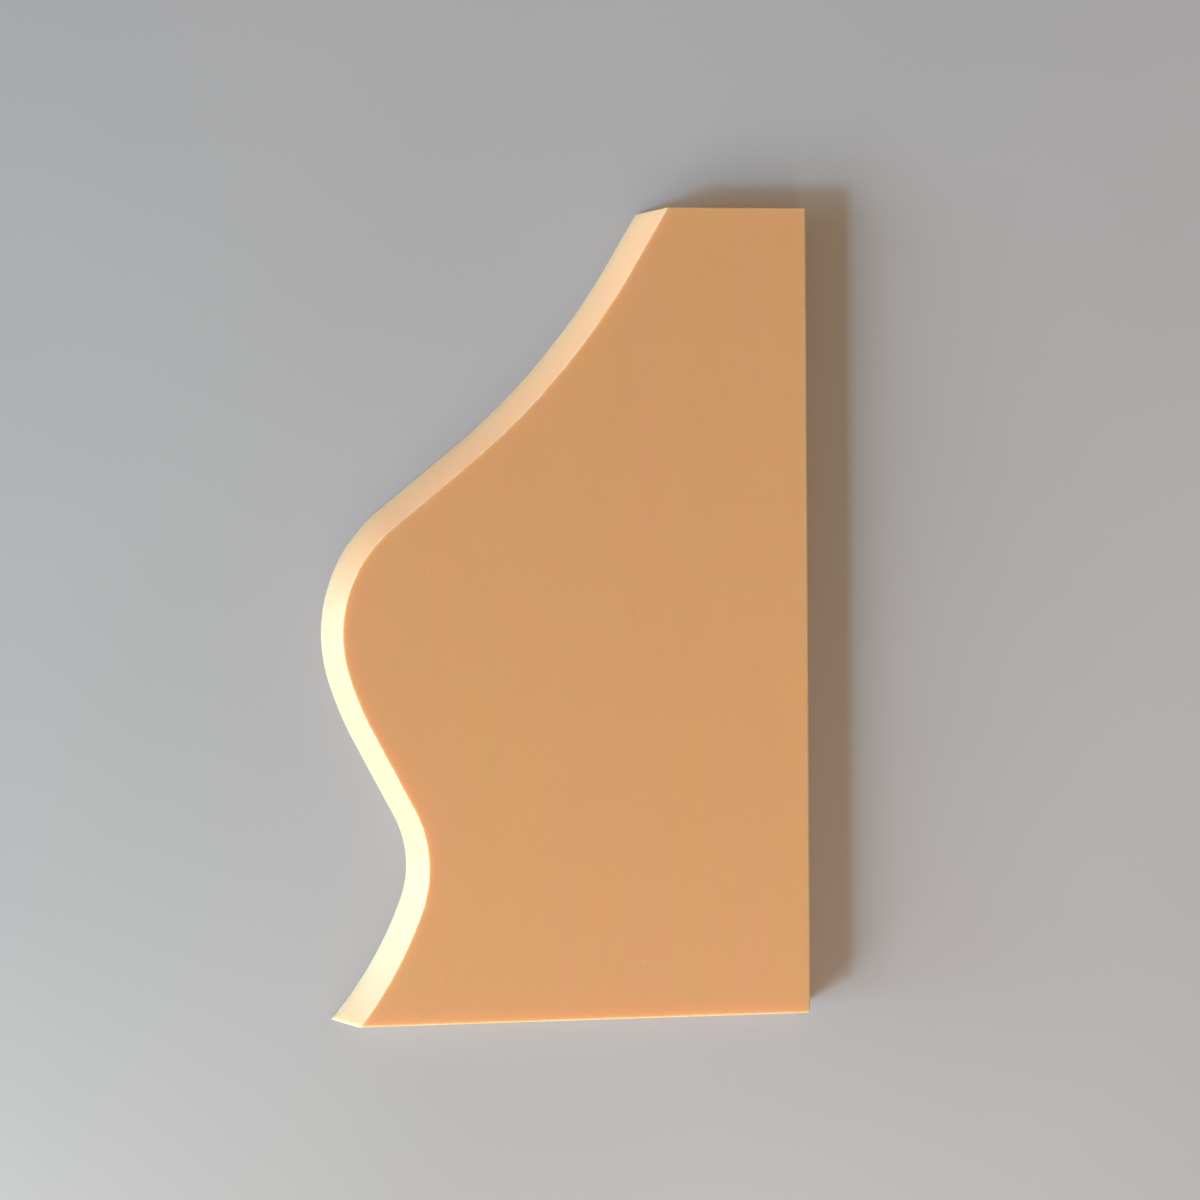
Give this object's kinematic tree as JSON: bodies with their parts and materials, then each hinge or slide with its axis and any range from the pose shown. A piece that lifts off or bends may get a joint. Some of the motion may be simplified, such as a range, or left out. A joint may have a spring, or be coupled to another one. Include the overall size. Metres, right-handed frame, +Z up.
{
  "type": "transfer board",
  "caption": "Thick transfer board with one straight edge, square ends and a bevelled wavy edge, resting on ribbed rubber grips set into its underside.",
  "frame": {"origin": "middle of the bounding box, at the level of the faces the rubber grips rest on", "axes": "+X from the wavy edge to the straight back edge, +Y along the board from the wide end to the narrow end, +Z up, out of the sliding face"},
  "size_m": [0.362, 0.6, 0.0205],
  "materials": {
    "board_plastic": "smooth peach-tan plastic, satin, slightly translucent at the lit edges",
    "grip_rubber": "matt dark ribbed rubber"
  },
  "bodies": {
    "root": {"slab": "board_plastic", "wide_end_grip": "grip_rubber", "narrow_end_grip": "grip_rubber"}
  },
  "joints": []
}
